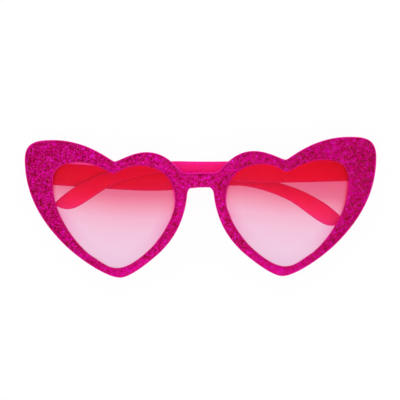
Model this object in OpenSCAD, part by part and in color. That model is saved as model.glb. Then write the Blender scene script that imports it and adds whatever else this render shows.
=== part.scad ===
// Heart shaped sunglasses, lenses up, resting on the outer face of the left arm.
// Left and right are as seen from the front. All lengths are in millimetres.

/* [Lenses] */
// Width of a lens opening
lens_w = 52.3; // [44:0.1:64]
// Height of a lens opening
lens_h = 45.2; // [37:0.1:55]
// Distance between the two lens openings
bridge_gap = 21.8; // [17:0.1:27]
// Thickness of a lens
lens_t = 1.8; // [1.4:0.1:2.2]
// Depth of the groove that holds a lens
groove_depth = 0.8; // [0.6:0.05:1]
// Gap round a lens in its groove
lens_fit = 0.05; // [0.03:0.01:0.1]

/* [Front] */
// Thickness of the front
front_t = 3.6; // [2.9:0.1:4.4]
// Radius of the front's curve, seen from above
face_r = 520; // [420:1:640]
// Width of the rim along the two lower sides of a heart
rim_w = 4.7; // [3.3:0.05:5]
// Height of the rim under the point of a heart
chin_w = 4.2; // [3:0.05:4.6]
// Width of the rim beside the nose
nose_rim_w = 5.25; // [3.9:0.05:6]
// Height of the rim over the inner lobe of a heart
lobe_rim_w = 5.7; // [4.6:0.05:7]
// Height of the rim in the notch between the lobes
notch_rim_w = 5.2; // [4.2:0.05:6.4]
// Height of the brow over the outer lobe
brow_w = 9.75; // [8:0.05:12]
// Width of the wing outside the lens
wing_w = 12.05; // [9.5:0.05:14]
// Height of the bridge
bridge_h = 6.3; // [5.2:0.1:7.4]
// Reach of the rounded corner under the bridge
nose_corner = 2.9; // [2.6:0.1:4]

/* [Glitter] */
// Thickness of the glitter layer on the front
glitter_t = 0.35; // [0.25:0.05:0.5]
// Width of the bare edge outside the glitter
bare_edge = 0.5; // [0.4:0.05:0.8]

/* [Nose pads] */
// Radius of a pad's round back, seen from the side
pad_r = 9.5; // [8:0.1:11.5]
// Thickness of a pad
pad_t = 2.4; // [2:0.1:2.9]
// How far a pad stands out behind the rim
pad_reach = 4.4; // [3.6:0.1:5.3]
// Angle at which a pad flares away from the nose
pad_flare = 18; // [12:1:24]

/* [Temples] */
// Length of an arm from its hinge pin to its tip
arm_len = 131.4; // [120:0.1:138]
// Height of an arm at the hinge
arm_h = 9.8; // [8:0.1:10.6]
// Thickness of an arm at the hinge
arm_root_t = 3.2; // [2.7:0.1:3.9]
// Thickness of an arm at its tip
arm_tip_t = 2.6; // [2.1:0.1:3.1]
// Radius of the rounding along an arm's edges
arm_round = 0.9; // [0.7:0.05:1.05]
// Gap between the folded arms where they cross
arm_gap = 0.35; // [0.3:0.05:0.5]
// How far the folded left arm slopes down towards its tip
left_lean = 2.2; // [1.7:0.1:2.7]
// How far the folded right arm slopes up towards its tip
right_lean = 1.6; // [1.1:0.1:2.1]
// Angle past square that an arm opens to
splay = 2; // [1:0.5:4]

/* [Hinges] */
// Distance from a hinge pin to the outer edge of the front
pin_inset = 6.2; // [5.8:0.1:6.6]
// Height of the hinges above the middle of the lenses
hinge_rise = 18; // [16.6:0.1:18.6]
// Distance from a pin back to the face that the arm closes on
pin_stand = 2; // [1.85:0.05:2.4]
// Distance from a pin to the inner face of its arm
pin_off = 1.55; // [1.5:0.05:1.85]
// Radius of a hinge knuckle
knuckle_r = 1.25; // [1.1:0.05:1.3]
// Height of one knuckle
knuckle_h = 2; // [1.7:0.05:2.3]
// Gap between two knuckles
knuckle_gap = 0.08; // [0.05:0.01:0.1]
// Thickness of the hinge leaves
leaf_t = 0.6; // [0.5:0.05:0.7]
// Reach of the front leaf towards the nose
front_leaf_reach = 3.2; // [2.6:0.1:3.4]
// Reach of the temple leaf along the arm
temple_leaf_reach = 5; // [4.4:0.1:5.8]
// Radius of a hinge screw
screw_r = 0.65; // [0.55:0.05:0.75]
// Running clearance round a hinge screw
screw_fit = 0.05; // [0.03:0.01:0.08]
// Radius of a screw's head
head_r = 1.15; // [1:0.05:1.3]
// Height of a screw's head
head_h = 0.6; // [0.5:0.05:0.75]

/* [Hidden] */

hot_pink = [0.93, 0.09, 0.5];
glitter_pink = [0.78, 0.08, 0.46];
rose_tint = [0.95, 0.45, 0.6, 0.45];
steel = [0.75, 0.76, 0.78];

// Samples along each stretch of an outline, and sides of round shapes
outline_steps = 8;
arm_steps = 7;
face_fn = 360;
pad_fn = 96;
round_fn = 48;
overrun = 1;

// The gap at the end of an arm that is opened all the way, and the gap round an inlaid leaf
end_gap = 0.15;
inlay_fit = 0.03;
leaf_edge = 0.35;
slot_w = 0.3;
slot_depth = 0.3;
block_round = 1.2;
land_rise = 0.2;

// Height of the bridge's top, in half lens heights, and where the wing is widest, in brow heights from
// the top. The lowest point lies this far towards the nose, in half lens widths, and the corner under
// the bridge is this wide, in its heights.
bridge_top_share = 0.779;
bridge_flat_share = 0.54;
bend_share = 0.83;
climb_share = 0.29;
wing_share = 0.87;
chin_share = 0.09;
corner_share = 0.7;

// Half sizes of a lens, and the places of its middle and of the front's edges
half_lens_w = lens_w / 2;
half_lens_h = lens_h / 2;
lens_x = bridge_gap / 2 + half_lens_w;
edge_x = lens_x + half_lens_w + wing_w;
top_y = half_lens_h + brow_w;
bottom_y = -half_lens_h - chin_w;
bridge_top = bridge_top_share * half_lens_h;
bridge_bottom = bridge_top - bridge_h;

// How far the back of the front lies behind its middle, at a distance x to the side
function drop(x) = face_r - sqrt(face_r * face_r - x * x);

// The outline of a lens opening. Each row is a place, in half sizes of the lens from its middle,
// the heading there, and the handles before and after it, in lens widths.
heart_shares = [
    [-0.004, 0.782, 180, 0.04, 0.04],
    [-0.395, 0.928, 180, 0.12, 0.15],
    [-1, 0.264, -90, 0.21, 0.15],
    [-0.6, -0.63, -43.5, 0.07, 0.155],
    [-0.05, -1, 0, 0.07, 0.08],
    [0.37, -0.77, 32, 0.11, 0.09],
    [1, 0.6, 90, 0.29, 0.07],
    [0.585, 1, 180, 0.195, 0.16]
];

function heading(angle) = [cos(angle), sin(angle)];

// A knot of an outline: a place, its heading, and the handles before and after it
function knot(place, angle, before_share, after_share) =
    [place, heading(angle), before_share * lens_w, after_share * lens_w];

function lens_place(x_share, y_share) = [lens_x + x_share * half_lens_w, y_share * half_lens_h];

// A place on the rim, a rim's width outside a place on the opening that runs at this angle
function rim_place(x_share, y_share, angle) = lens_place(x_share, y_share) + rim_w * heading(angle + 90);

heart_knots = [for (row = heart_shares) knot(lens_place(row[0], row[1]), row[2], row[3], row[4])];

// The right half of the front's outline, clockwise from the flat top of the bridge to its underside
half_knots = [
    knot([bridge_flat_share * bridge_gap / 2, bridge_top], 0, 0.025, 0.025),
    knot([bend_share * bridge_gap / 2, bridge_top + climb_share * bridge_h], 47, 0.025, 0.11),
    knot(lens_place(-0.538, 0.928) + [0, lobe_rim_w], 0, 0.115, 0.122),
    knot(lens_place(-0.016, 0.782) + [0, notch_rim_w], 8.5, 0.03, 0.03),
    knot([lens_x + half_lens_w, top_y], 0, 0.29, 0.125),
    knot([edge_x, top_y - wing_share * brow_w], -90, 0.155, 0.25),
    knot(rim_place(0.665, -0.435, -136), -136, 0.325, 0.17),
    knot([lens_x - chin_share * half_lens_w, bottom_y], 180, 0.1, 0.065),
    knot(rim_place(-0.565, -0.625, 140), 140, 0.165, 0.185),
    knot([bridge_gap / 2 - nose_rim_w, bridge_bottom - nose_corner], 96, 0.225, 0.03),
    knot([bridge_gap / 2 - nose_rim_w - corner_share * nose_corner, bridge_bottom], 180, 0.02, 0.02)
];

// A point of the cubic curve between knots p and q at t, and its direction
function curve_point(p, q, t) =
    let (a = p[0], b = p[0] + p[3] * p[1], c = q[0] - q[2] * q[1], d = q[0], u = 1 - t)
    u * u * u * a + 3 * u * u * t * b + 3 * u * t * t * c + t * t * t * d;
function curve_slope(p, q, t) =
    let (a = p[0], b = p[0] + p[3] * p[1], c = q[0] - q[2] * q[1], d = q[0], u = 1 - t)
    u * u * (b - a) + 2 * u * t * (c - b) + t * t * (d - c);
function left_of(slope) = [-slope[1], slope[0]] / norm(slope);

// Points along the knots, each with the direction square to the left of the curve
function traced(knots, closed, steps) = [
    for (i = [0 : len(knots) - (closed ? 1 : 2)], j = [0 : steps - 1])
        let (p = knots[i], q = knots[(i + 1) % len(knots)], t = j / steps)
        [curve_point(p, q, t), left_of(curve_slope(p, q, t))],
    if (!closed) [knots[len(knots) - 1][0], left_of(knots[len(knots) - 1][1])]
];
function shifted(trace, left) = [for (point = trace) point[0] + left * point[1]];
function mirrored(points) = [for (i = [len(points) - 1 : -1 : 0]) [-points[i][0], points[i][1]]];

heart_trace = traced(heart_knots, true, outline_steps);
half_trace = traced(half_knots, false, outline_steps);

// The lens opening grown into the rim, and the front's outline drawn in
function heart_points(grown) = shifted(heart_trace, -grown);
function front_points(drawn_in) =
    let (half = shifted(half_trace, -drawn_in)) concat(half, mirrored(half));

module both_sides() {
    children();
    mirror([1, 0, 0]) children();
}

// A flat shape made into a column through the whole depth of the front
column_back = drop(edge_x) + front_t + overrun;
column_front = front_t + glitter_t + overrun;
module column(points) {
    translate([0, 0, -column_back]) linear_extrude(column_back + column_front) polygon(points);
}

// Everything behind the curved surface that lies this far before the front's back
slice_h = 2 * (lens_h + brow_w);
module behind(start, over) {
    translate([0, 0, -face_r]) rotate([90, 0, 0])
        cylinder(r = face_r + start, h = slice_h + over, center = true, $fn = face_fn);
}

// A curved slice of the front that starts this far before its back
module slice(start, thick) {
    difference() {
        behind(start + thick, 0);
        behind(start, overrun);
    }
}

// Place of a hinge pin, of the flat land before it, and of the outer face of a folded arm behind it
pin_x = edge_x - pin_inset;
land_z = -drop(edge_x) - land_rise;
pin_z = land_z - pin_stand;
face_back = arm_root_t + pin_off;

// Sizes of the block that carries a hinge, out from the pin and in towards the lens
block_out = face_back - land_rise;
block_in = front_leaf_reach + leaf_edge;
block_h = arm_h - 2 * leaf_edge;

// The height of a whole hinge
hinge_h = 3 * knuckle_h + 2 * knuckle_gap;

// An upright rounded plate between two corners, from one depth to another
module rounded_plate(low, high, r, z_low, z_high) {
    size = high - low;
    translate([low[0], low[1], z_low]) linear_extrude(z_high - z_low) {
        translate([r, 0]) square([size[0] - 2 * r, size[1]]);
        translate([0, r]) square([size[0], size[1] - 2 * r]);
        for (x = [r, size[0] - r], y = [r, size[1] - r]) translate([x, y]) circle(r, $fn = round_fn);
    }
}

// The moulded block behind the wing, in the right hinge's place
module end_block() {
    top_z = front_t / 3 - drop(pin_x - block_in);
    translate([pin_x, hinge_rise, 0])
        rounded_plate([-block_in, -block_h / 2], [block_out, block_h / 2], block_round, land_z, top_z);
}

// A nose pad: a coin with a round edge that stands out behind the rim
pad_heading = 109.5;
pad_place = lens_place(-1, -0.05) - [nose_rim_w / 6, 0];
module nose_pad() {
    intersection() {
        translate([pad_place[0], pad_place[1], 0]) rotate([0, 0, pad_heading - 90]) rotate([0, -pad_flare, 0])
            translate([0, 0, pad_r - pad_reach]) rotate([0, 90, 0]) rotate_extrude($fn = pad_fn) {
                translate([0, -pad_t / 2]) square([pad_r - pad_t / 2, pad_t]);
                intersection() {
                    translate([pad_r - pad_t / 2, 0]) circle(pad_t / 2, $fn = round_fn);
                    translate([0, -pad_t]) square([pad_r + pad_t, 2 * pad_t]);
                }
            }
        behind(front_t / 2, 0);
    }
}

module front_frame() {
    color(hot_pink) difference() {
        union() {
            difference() {
                intersection() {
                    column(front_points(0));
                    slice(0, front_t);
                }
                both_sides() column(heart_points(0));
                both_sides() intersection() {
                    column(heart_points(groove_depth));
                    slice((front_t - lens_t) / 2 - lens_fit, lens_t + 2 * lens_fit);
                }
            }
            both_sides() end_block();
            both_sides() nose_pad();
        }
        right_hinge_place() front_leaf_plate(inlay_fit, overrun);
        left_hinge_place() front_leaf_plate(inlay_fit, overrun);
    }
}

module glitter_face() {
    color(glitter_pink) difference() {
        intersection() {
            column(front_points(bare_edge));
            slice(front_t, glitter_t);
        }
        both_sides() column(heart_points(bare_edge));
    }
}

// The right lens, its edge in the groove
module lens() {
    color(rose_tint) intersection() {
        column(heart_points(groove_depth - lens_fit));
        slice((front_t - lens_t) / 2, lens_t);
    }
}
module lens_right() { lens(); }
module lens_left() { mirror([1, 0, 0]) lens(); }

// A hinge is drawn about its pin as on the right side: x runs outward, y up the pin and z to the front.
// Its front leaf is inlaid in the land of the end block.
module front_leaf_plate(fit, out) {
    half_h = hinge_h / 2 + fit;
    translate([-front_leaf_reach - fit, -half_h, pin_stand - out])
        cube([front_leaf_reach + knuckle_r + 2 * fit, 2 * half_h, leaf_t + fit + out]);
}

module knuckle(low, high) {
    translate([0, low, 0]) rotate([-90, 0, 0]) cylinder(r = knuckle_r, h = high - low, $fn = round_fn);
}

module pin_hole(r) {
    translate([0, -hinge_h, 0]) rotate([-90, 0, 0]) cylinder(r = r, h = 2 * hinge_h, $fn = round_fn);
}

// How far the web that joins a front knuckle to its leaf reaches outward, in knuckle radii
web_share = 0.7;
module front_hinge() {
    color(steel) difference() {
        union() {
            front_leaf_plate(0, 0);
            for (side = [-1, 1]) {
                middle = side * (knuckle_h + knuckle_gap);
                knuckle(middle - knuckle_h / 2, middle + knuckle_h / 2);
                translate([-knuckle_r, middle - knuckle_h / 2, 0])
                    cube([(1 + web_share) * knuckle_r, knuckle_h, pin_stand + leaf_t / 2]);
            }
        }
        pin_hole(screw_r + screw_fit);
    }
}

// The temple's leaf, inlaid in the inner face of the folded arm
module temple_leaf_plate(fit, out) {
    half_h = hinge_h / 2 - knuckle_h / 2 + fit;
    translate([-temple_leaf_reach - fit, -half_h, -pin_off - leaf_t - fit])
        cube([temple_leaf_reach + 2 * fit, 2 * half_h, leaf_t + fit + out]);
}

module temple_hinge() {
    color(steel) difference() {
        union() {
            temple_leaf_plate(0, 0);
            knuckle(-knuckle_h / 2, knuckle_h / 2);
            translate([-knuckle_r, -knuckle_h / 2, -pin_off - leaf_t / 2])
                cube([knuckle_r, knuckle_h, pin_off + leaf_t / 2]);
        }
        pin_hole(screw_r + screw_fit);
    }
}

module hinge_screw() {
    color(steel) difference() {
        translate([0, -hinge_h / 2, 0]) rotate([-90, 0, 0]) {
            cylinder(r = screw_r, h = hinge_h + head_h / 2, $fn = round_fn);
            translate([0, 0, hinge_h]) cylinder(r = head_r, h = head_h, $fn = round_fn);
        }
        translate([-head_r - overrun, hinge_h / 2 + head_h - slot_depth, -slot_w / 2])
            cube([2 * (head_r + overrun), slot_depth + overrun, slot_w]);
    }
}

// The lower and upper edge of an arm. Each row is a distance from the pin, in arm lengths, a height
// over the pin, in arm heights, the heading there, and the handles, in arm lengths.
arm_low_shares = [
    [0, -0.455, -2, 0.08, 0.11],
    [0.345, -0.615, 0, 0.12, 0.124],
    [0.654, -0.28, 0, 0.124, 0.043],
    [0.835, -1.005, -32.5, 0.056, 0.063],
    [0.957, -1.93, 0, 0.033, 0.014],
    [1, -1.735, 45, 0.014, 0.01]
];
arm_high_shares = [
    [0, 0.51, 0, 0.08, 0.1],
    [0.297, 0.37, -2, 0.107, 0.075],
    [0.59, 0.27, 1, 0.09, 0.06],
    [0.815, -0.215, -18, 0.065, 0.05],
    [0.926, -0.87, -29, 0.055, 0.024],
    [1, -1.665, -50, 0.025, 0.01]
];

// The hook at the end of an arm starts where the folded arm still ends short of the other hinge
hook_share = 0.815;
hook_span_share = 0.78;
hook_start = min(hook_share * arm_len, hook_span_share * 2 * pin_x);
function along(x_share) = x_share < hook_share
    ? x_share / hook_share * hook_start
    : arm_len - (1 - x_share) / (1 - hook_share) * (arm_len - hook_start);

function arm_knots(shares) = [for (row = shares)
    [[along(row[0]), row[1] * arm_h], heading(row[2]), row[3] * arm_len, row[4] * arm_len]];
arm_low = traced(arm_knots(arm_low_shares), false, arm_steps);
arm_high = traced(arm_knots(arm_high_shares), false, arm_steps);
arm_count = len(arm_low);

// Thickness of the arm at a distance from the pin
function arm_t(along) = arm_root_t + (arm_tip_t - arm_root_t) * along / arm_len;

// The root end lies flat on the land when the arm is opened all the way
function root_along(deep) = -(pin_stand - end_gap - (pin_off + deep) * sin(splay)) / cos(splay);

// One ring of the arm, at an angle round the rounding of its outer or inner face. The outer face is
// flat, and the inner one tapers. The first point of each edge is moved to the root end.
ring_angles = [0, 45, 90];
function ring_in(angle) = arm_round * (1 - sin(angle));
function ring_deep(angle, along, inner) =
    let (rounded = arm_round * (1 - cos(angle)))
    inner ? arm_root_t - arm_t(along) + rounded : arm_root_t - rounded;
function edge_point(trace, i, left, angle, inner) =
    let (place = trace[i][0] + left * ring_in(angle) * trace[i][1], deep = ring_deep(angle, place[0], inner))
    [i == 0 ? -root_along(deep) : -place[0], place[1], -pin_off - deep];
function ring(angle, inner) = concat(
    [for (i = [0 : arm_count - 1]) edge_point(arm_low, i, 1, angle, inner)],
    [for (i = [arm_count - 1 : -1 : 0]) edge_point(arm_high, i, -1, angle, inner)]
);

// The arm as on the right side: folded, it runs from its pin towards the nose
module temple() {
    rings = concat(
        [for (angle = ring_angles) ring(angle, false)],
        [for (i = [len(ring_angles) - 1 : -1 : 0]) ring(ring_angles[i], true)]
    );
    points = [for (r = rings, p = r) p];
    n = 2 * arm_count;
    last = (len(rings) - 1) * n;
    sides = [for (k = [0 : len(rings) - 2], i = [0 : n - 1])
        let (a = k * n + i, b = k * n + (i + 1) % n)
        each [[a, b, b + n], [a, b + n, a + n]]];
    caps = [for (i = [0 : arm_count - 2])
        let (low = i, next = i + 1, high = n - 1 - i, before = n - 2 - i)
        each [[low, high, before], [low, before, next],
            [last + low, last + next, last + before], [last + low, last + before, last + high]]];
    color(hot_pink) difference() {
        polyhedron(points, concat(sides, caps));
        temple_leaf_plate(inlay_fit, overrun);
    }
}

// The folded arms cross. Each tilts just enough that they pass one over the other at both crossings:
// the right arm towards the lenses, and the left arm away from them.
cross_share = 0.93;
cross_far = cross_share * arm_len;
cross_near = 2 * pin_x - cross_far;
cross_right = arm_t(cross_near) + arm_gap;
cross_left = arm_t(cross_far) + arm_gap;
cross_size = cross_far * cross_far - cross_near * cross_near;
right_tilt = atan((cross_far * cross_right - cross_near * cross_left) / cross_size);
left_tilt = atan((cross_far * cross_left - cross_near * cross_right) / cross_size);

// The hinges lean with the arms, both the same way
module right_hinge_place() {
    translate([pin_x, hinge_rise, pin_z]) rotate([0, 0, -right_lean]) children();
}
module left_hinge_place() {
    translate([-pin_x, hinge_rise, pin_z]) rotate([0, 0, -left_lean]) mirror([1, 0, 0]) children();
}
module right_arm_place() {
    right_hinge_place() rotate([0, right_tilt, 0]) children();
}
module left_arm_place() {
    left_hinge_place() rotate([0, -left_tilt, 0]) children();
}

// The whole pair is turned about the left pin, so that the outer face of the left arm lies on the table,
// and the middle of the front's outline stands over the origin
pin_direction = [sin(left_lean), cos(left_lean), 0];
left_pin = [-pin_x, hinge_rise, pin_z];
rest_shift = [0, -(top_y + bottom_y) / 2, face_back - pin_z];
module at_rest() {
    translate(rest_shift) translate(left_pin) rotate(-left_tilt, pin_direction) translate(-left_pin) children();
}

at_rest() front_frame();
at_rest() glitter_face();
at_rest() lens_left();
at_rest() lens_right();
at_rest() left_arm_place() temple();  // temple_left
at_rest() right_arm_place() temple();  // temple_right
at_rest() left_hinge_place() front_hinge();  // front_hinge_left
at_rest() right_hinge_place() front_hinge();  // front_hinge_right
at_rest() left_arm_place() temple_hinge();  // temple_hinge_left
at_rest() right_arm_place() temple_hinge();  // temple_hinge_right
at_rest() left_hinge_place() hinge_screw();  // hinge_screw_left
at_rest() right_hinge_place() hinge_screw();  // hinge_screw_right
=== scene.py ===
"""Heart shaped sunglasses that lie folded with their lenses up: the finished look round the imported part.

Sizes are in millimetres and angles in degrees. A front is drawn with x to the right, y up from the
middle of the lenses and z to the viewer, from the back of its middle. A hinge and its arm are drawn
about the hinge pin as on the right side. Resting places both in the row's frame, in metres.
"""

import logging
import math
from collections.abc import Callable, Sequence
from dataclasses import dataclass, field
from enum import Enum

import bmesh
import bpy
import numpy as np
from mathutils import Matrix, Vector
from mathutils.geometry import delaunay_2d_cdt


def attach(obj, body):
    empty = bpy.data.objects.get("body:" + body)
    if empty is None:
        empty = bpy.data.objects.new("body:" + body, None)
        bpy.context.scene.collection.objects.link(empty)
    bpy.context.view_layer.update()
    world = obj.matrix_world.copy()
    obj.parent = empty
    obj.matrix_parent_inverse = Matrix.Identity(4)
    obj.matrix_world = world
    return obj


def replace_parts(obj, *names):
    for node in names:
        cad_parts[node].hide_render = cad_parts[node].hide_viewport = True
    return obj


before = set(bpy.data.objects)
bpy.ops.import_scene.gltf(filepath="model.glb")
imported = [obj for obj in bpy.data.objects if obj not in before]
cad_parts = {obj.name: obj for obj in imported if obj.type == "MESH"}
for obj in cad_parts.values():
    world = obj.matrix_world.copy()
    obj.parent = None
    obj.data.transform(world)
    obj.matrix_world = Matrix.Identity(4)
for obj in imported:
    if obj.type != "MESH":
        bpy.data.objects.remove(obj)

log = logging.getLogger("sunglasses")

MM = 0.001
CREASE = math.radians(38)
TINY = 1e-6
GRID = 2.2
POCKET_GRID = 3.0
RIM_GAP = "rim_gap"

Socket = bpy.types.NodeSocket
Colour = tuple[float, float, float, float]
Span = tuple[float, float]
Profile = list[Span]
Lift = Callable[[np.ndarray], np.ndarray]


class Side(Enum):
    """A side of the pair, as seen from the front, and the way it lies along x."""

    LEFT = -1
    RIGHT = 1

    @property
    def label(self) -> str:
        """The side's name in the names of nodes and pieces."""
        return self.name.lower()

    @property
    def mirror(self) -> Matrix:
        """Turns a shape of the right side into this side's."""
        return Matrix.Diagonal((self.value, 1, 1, 1))


def paint(red: int, green: int, blue: int) -> Colour:
    """A screen colour as the linear colour that a shader takes.

    Args:
        red: Red, from 0 to 255.
        green: Green, from 0 to 255.
        blue: Blue, from 0 to 255.

    Returns:
        The colour and an alpha of 1.
    """

    def linear(level: int) -> float:
        """One channel of it."""
        share = level / 255
        return share / 12.92 if share <= 0.04045 else ((share + 0.055) / 1.055) ** 2.4

    return linear(red), linear(green), linear(blue), 1.0


def add_object(name: str, data: bpy.types.ID) -> bpy.types.Object:
    """Makes an object of its data and adds it to the scene.

    Args:
        name: The object's name.
        data: Its mesh, light or camera.

    Returns:
        The new object.
    """
    made = bpy.data.objects.new(name, data)
    bpy.context.scene.collection.objects.link(made)
    return made


def level(z: float) -> Lift:
    """A flat face at this height, for a cap."""
    return lambda flat: np.full(len(flat), z)


@dataclass(frozen=True)
class Swell:
    """A soft unevenness: its swells in a millimetre, its lowest and highest value and its detail.

    The band is the stretch of the noise's own values that those two are reached over.
    """

    scale: float
    low: float
    high: float
    detail: float = 2.0
    band: Span = (0.3, 0.7)


class Graph:
    """Builds the nodes of one tree."""

    def __init__(self, tree: bpy.types.NodeTree) -> None:
        """Starts with an empty tree.

        Args:
            tree: The nodes of a material or of the world.
        """
        self.tree = tree
        self.tree.nodes.clear()

    def add(self, kind: str, inputs: dict[str | int, object], **settings: object) -> bpy.types.Node:
        """Adds a node.

        Args:
            kind: The node's type, without its ShaderNode prefix.
            inputs: A value or another node's output for each named or numbered input.
            settings: Values for the node's own settings.

        Returns:
            The new node.
        """
        node = self.tree.nodes.new("ShaderNode" + kind)
        for key, value in settings.items():
            setattr(node, key, value)
        for key, value in inputs.items():
            if isinstance(value, Socket):
                self.tree.links.new(value, node.inputs[key])
            else:
                node.inputs[key].default_value = value
        return node

    def sum(self, operation: str, first: Socket | float, second: Socket | float = 0.0) -> Socket:
        """The result of one sum on two numbers."""
        return self.add("Math", {0: first, 1: second}, operation=operation).outputs[0]

    def shift(self, operation: str, first: Socket, inputs: dict[str | int, object]) -> Socket:
        """The result of one sum on a vector and what the inputs give."""
        return self.add("VectorMath", {0: first, **inputs}, operation=operation).outputs[0]

    def span(
            self, value: Socket, low: float, high: float, start: Socket | float, end: Socket | float,
            **settings: object) -> Socket:
        """A value moved from the span between low and high to the one between start and end."""
        inputs = {"Value": value, "From Min": low, "From Max": high, "To Min": start, "To Max": end}
        return self.add("MapRange", inputs, **settings).outputs[0]

    def mixed(self, share: Socket | float, first: object, second: object, blend: str = "MIX") -> Socket:
        """Two colours mixed by a share."""
        inputs = {0: share, 6: first, 7: second}
        return self.add("Mix", inputs, data_type="RGBA", blend_type=blend).outputs[2]

    def ramp(self, value: Socket, stops: Sequence[tuple[float, Colour]]) -> Socket:
        """A colour for a value.

        Args:
            value: The value, from 0 to 1.
            stops: Values and their colours, in order.

        Returns:
            The colour output.
        """
        node = self.add("ValToRGB", {0: value})
        bar = node.color_ramp.elements
        while len(bar) < len(stops):
            bar.new(0.5)
        for element, (place, colour) in zip(bar, stops):
            element.position = place
            element.color = colour
        return node.outputs[0]

    def noise(self, places: Socket, scale: float, detail: float = 2.0) -> Socket:
        """Soft noise from 0 to 1, with this many swells in a millimetre."""
        return self.add("TexNoise", {"Vector": places, "Scale": scale, "Detail": detail}).outputs["Fac"]

    def spread(self, noise: Socket, swell: Swell) -> Socket:
        """Noise spread between a swell's lowest and highest value."""
        return self.span(noise, *swell.band, swell.low, swell.high)

    def uneven(self, places: Socket, swell: Swell) -> Socket:
        """A number that follows a swell."""
        return self.spread(self.noise(places, swell.scale, swell.detail), swell)


class MaterialGraph(Graph):
    """Builds one material's nodes."""

    def __init__(self, name: str) -> None:
        """Starts an empty material.

        Args:
            name: The material's name.
        """
        self.material = bpy.data.materials.new(name)
        self.material.use_nodes = True
        super().__init__(self.material.node_tree)

    def places(self) -> Socket:
        """The place on the object, in millimetres."""
        return self.shift("SCALE", self.add("TexCoord", {}).outputs["Object"], {"Scale": 1 / MM})

    def facing(self) -> Socket:
        """How far the surface faces up the object's z, from -1 to 1."""
        return self.add("SeparateXYZ", {0: self.add("TexCoord", {}).outputs["Normal"]}).outputs["Z"]

    def near_rim(self, start: float, end: float, power: float) -> Socket:
        """A share that falls from 1 to 0 between two distances in from the piece's rim."""
        gap = self.add("Attribute", {}, attribute_name=RIM_GAP).outputs["Fac"]
        return self.sum("POWER", self.span(gap, start, end, 1, 0), power)

    def finish(self, shader: bpy.types.Node) -> bpy.types.Material:
        """Sends a shader to the output and gives back the material."""
        self.add("OutputMaterial", {"Surface": shader.outputs[0]})
        return self.material


@dataclass(frozen=True)
class PlasticFinish:
    """Glossy moulded plastic with a faint swell, whose colour deepens from its top to its foot as painted
    shade.

    Light spreads in it as far as its clarity lets it. With an edge colour, a painted light turns it to that
    colour towards the piece's rim, but hardly on its side walls.
    """

    name: str
    light: Colour
    deep: Colour
    shine: float
    fade: Span = (14.0, 19.5)
    mottle: Swell = Swell(0.09, 0.0, 0.15)
    rough: Swell = Swell(1.6, 0.19, 0.32, 4)
    swell_scale: float = 0.35
    swell_h: float = 0.1
    swell_strength: float = 0.25
    clarity: float = 0.0
    depth_seen: float = 2.0
    light_spread: tuple[float, float, float] = (1.0, 0.12, 0.7)
    edge: Colour | None = None
    edge_light_w: float = 2.6
    edge_light_power: float = 1.5
    wall_facing: Span = (0.05, 0.6)
    wall_share: float = 0.25

    def build(self) -> bpy.types.Material:
        """Builds the plastic's material.

        Returns:
            The material.
        """
        graph = MaterialGraph(self.name)
        places = graph.places()
        up = graph.add("SeparateXYZ", {0: places}).outputs["Y"]
        # painted shade: the colour deepens from the top towards the foot, plus a random mottle
        painted_shade = graph.span(up, *self.fade, 1 - self.mottle.high, 0)
        depth = graph.sum("ADD", painted_shade, graph.uneven(places, self.mottle))
        colour = graph.mixed(depth, self.light, self.deep)
        # painted light along the rim: the colour turns to the edge colour, less on the side walls
        if self.edge is not None:
            near = graph.near_rim(0, self.edge_light_w, self.edge_light_power)
            shown = graph.span(graph.sum("ABSOLUTE", graph.facing()), *self.wall_facing, self.wall_share, 1)
            colour = graph.mixed(graph.sum("MULTIPLY", near, shown), colour, self.edge)
        swell = graph.noise(places, self.swell_scale)
        bump = graph.add("Bump", {
            "Height": swell, "Strength": self.swell_strength, "Distance": self.swell_h * MM})
        return graph.finish(graph.add("BsdfPrincipled", {
            "Base Color": colour, "Roughness": graph.uneven(places, self.rough), "Normal": bump.outputs[0],
            "Specular IOR Level": self.shine, "Subsurface Weight": self.clarity,
            "Subsurface Radius": self.light_spread, "Subsurface Scale": self.depth_seen * MM}))


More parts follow.
